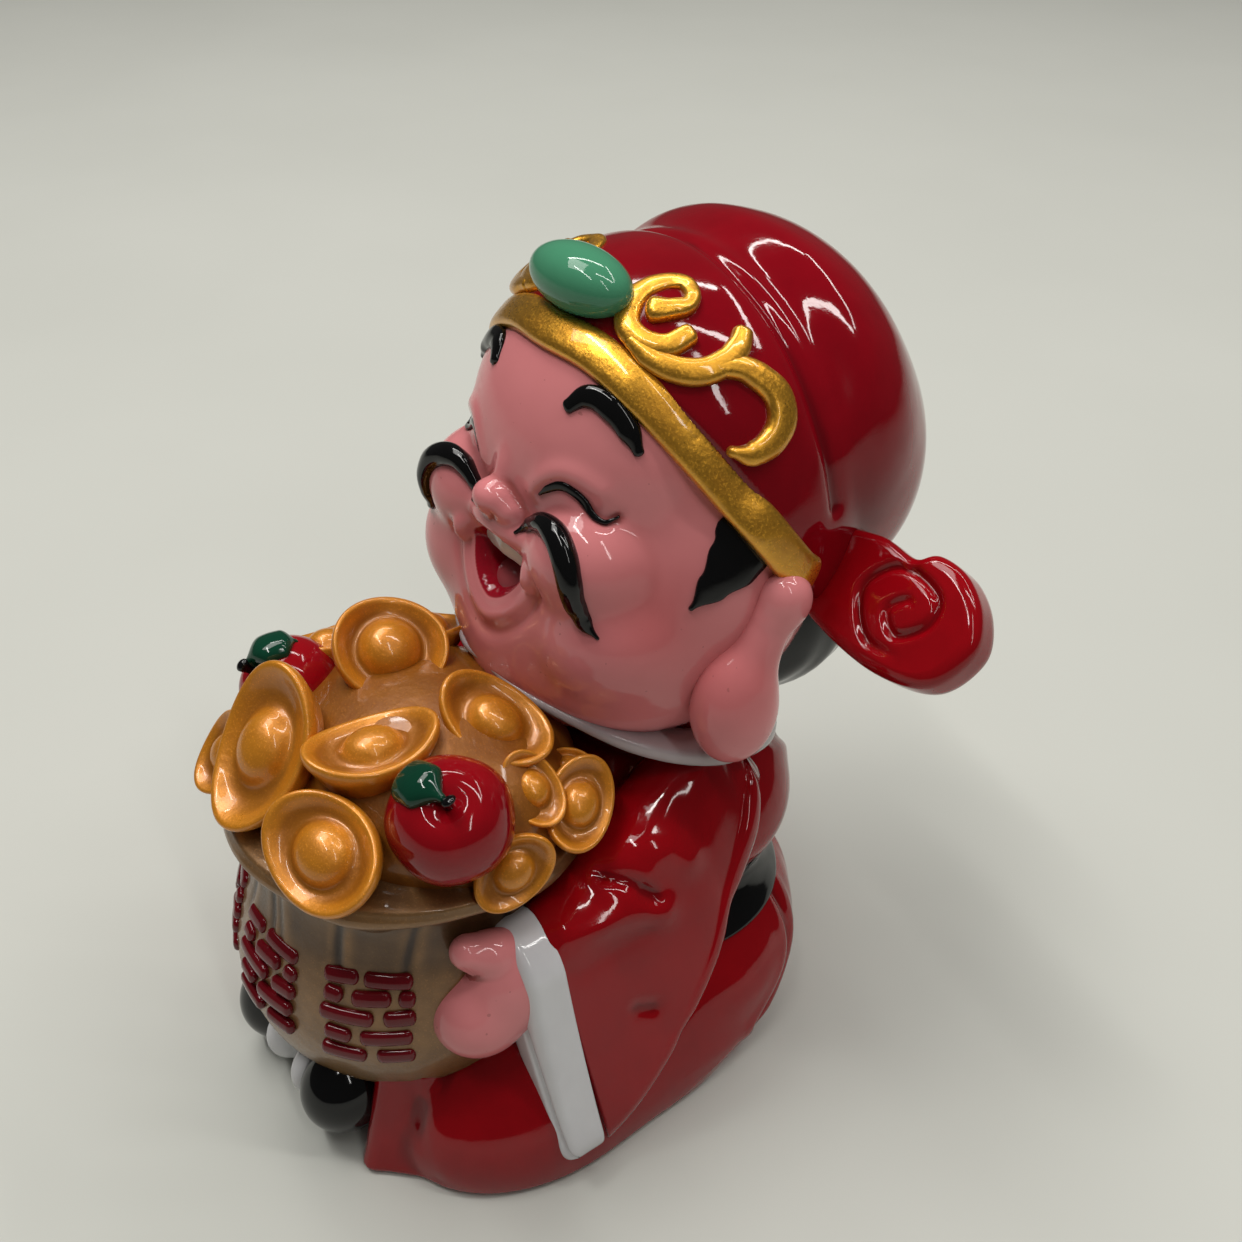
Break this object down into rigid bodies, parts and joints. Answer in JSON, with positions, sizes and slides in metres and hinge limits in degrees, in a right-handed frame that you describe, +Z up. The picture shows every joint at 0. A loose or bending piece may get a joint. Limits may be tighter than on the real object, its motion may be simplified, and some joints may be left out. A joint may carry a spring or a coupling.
{
  "type": "caishen figure",
  "caption": "Moulded laughing god of wealth in a red robe and winged hat, seated with a sack heaped with gold ingots and fruit.",
  "frame": {"origin": "on the flat underside, below the middle of the seated body", "axes": "+Z up; the figure faces -Y, with its left hand at +X"},
  "size_m": [0.1332, 0.1411, 0.1546],
  "materials": {
    "red_lacquer": "thick glossy lacquer over red paint",
    "flesh_paint": "glossy lacquer over pink paint, rosier at the cheeks",
    "gold_paint": "pearly gold paint under lacquer",
    "bronze_paint": "bronze paint under lacquer, darker in the creases",
    "white_paint": "glossy white paint",
    "black_paint": "glossy black paint",
    "green_paint": "glossy green paint"
  },
  "bodies": {
    "root": {"caishen_figure": "red_lacquer"}
  },
  "joints": []
}
